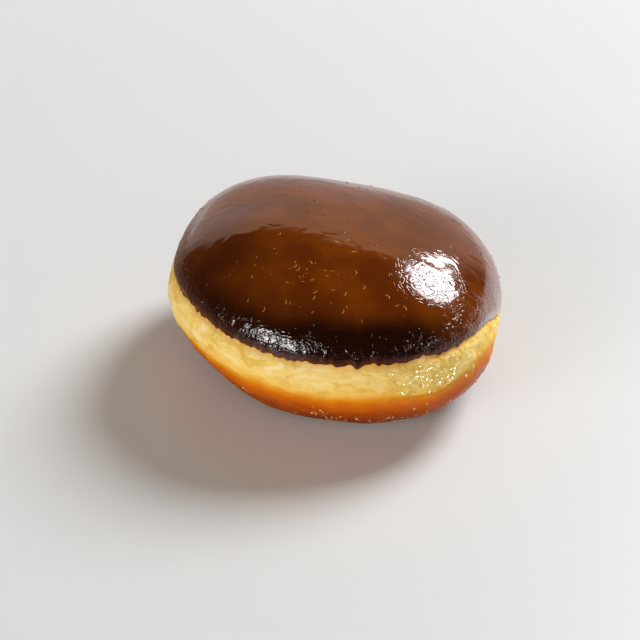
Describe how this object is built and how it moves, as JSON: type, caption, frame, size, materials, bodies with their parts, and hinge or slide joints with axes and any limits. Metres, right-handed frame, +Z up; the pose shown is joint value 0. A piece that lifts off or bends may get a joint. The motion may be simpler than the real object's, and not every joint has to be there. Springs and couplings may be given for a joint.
{
  "type": "filled doughnut",
  "caption": "Round filled yeast doughnut with a flattened base, a pale band around its waist, and a glossy chocolate icing over its top.",
  "frame": {"origin": "centre of the footprint, on the surface the doughnut rests on", "axes": "+Z up through the crown, the doughnut's shortest way; -Y towards its front, +X to its right"},
  "size_m": [0.0908, 0.0926, 0.0444],
  "materials": {
    "fried_dough": "soft fried skin: golden-brown below, cream-yellow around the waist, slightly waxy",
    "chocolate_icing": "set chocolate icing, smooth and glossy with small pits"
  },
  "bodies": {
    "root": {"dough": "fried_dough", "chocolate_icing": "chocolate_icing"}
  },
  "joints": []
}
